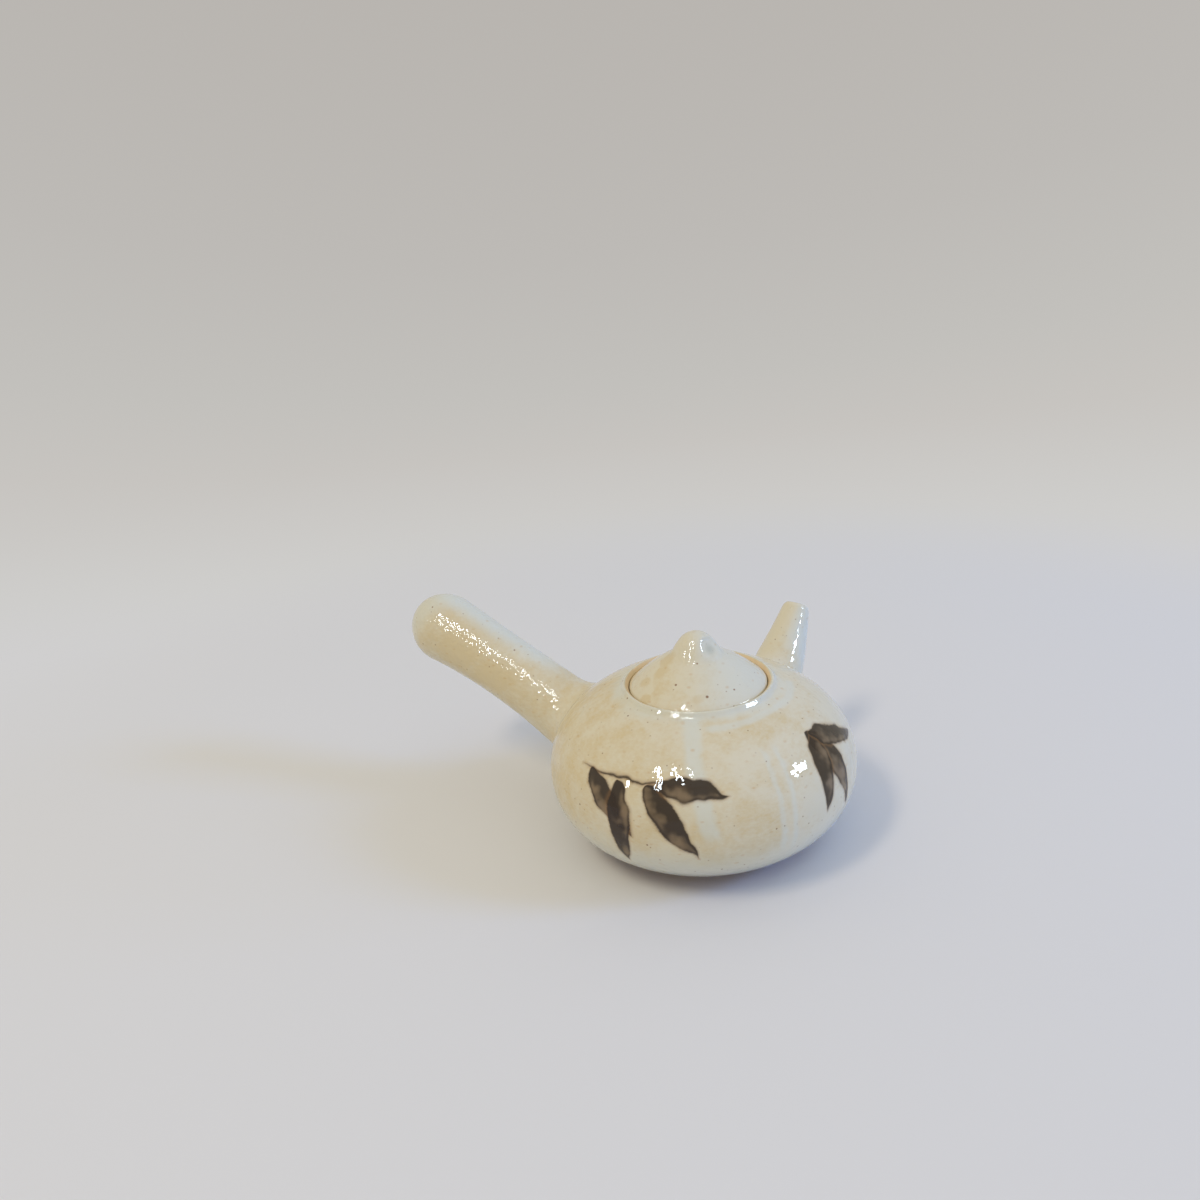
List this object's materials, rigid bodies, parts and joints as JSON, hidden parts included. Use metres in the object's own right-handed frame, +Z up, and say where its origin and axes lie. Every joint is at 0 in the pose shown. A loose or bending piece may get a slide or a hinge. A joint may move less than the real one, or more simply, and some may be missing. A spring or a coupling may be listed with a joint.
{
  "type": "side-handled teapot",
  "caption": "Round, squat ceramic teapot with a hollow side handle, a short rising spout with a strainer behind it, and a loose domed lid with a knob.",
  "frame": {"origin": "centre of the foot ring, on the surface that the pot stands on", "axes": "+Z up along the pot's axis, +X towards the spout, the handle about 96 degrees anticlockwise from the spout seen from above"},
  "size_m": [0.1272, 0.173, 0.0743],
  "materials": {
    "cream_glaze": "glossy cream ash glaze with tan mottling",
    "inside_glaze": "thin clear glaze over white stoneware",
    "bare_clay": "matt unglazed stoneware, fired tan"
  },
  "bodies": {
    "pot": {"body": "cream_glaze", "foot_ring": "bare_clay", "lid_seat": "cream_glaze", "spout": "cream_glaze", "spout_seam": "cream_glaze", "strainer": "inside_glaze", "handle": "cream_glaze", "handle_seam": "cream_glaze"},
    "lid": {"lid": "cream_glaze", "lid_flange": "bare_clay", "knob": "cream_glaze"}
  },
  "joints": [
    {"name": "lid_lift", "type": "slide", "parent": "pot", "child": "lid", "axis": [0, 0, 1], "range_m": [0, 0.05]}
  ]
}
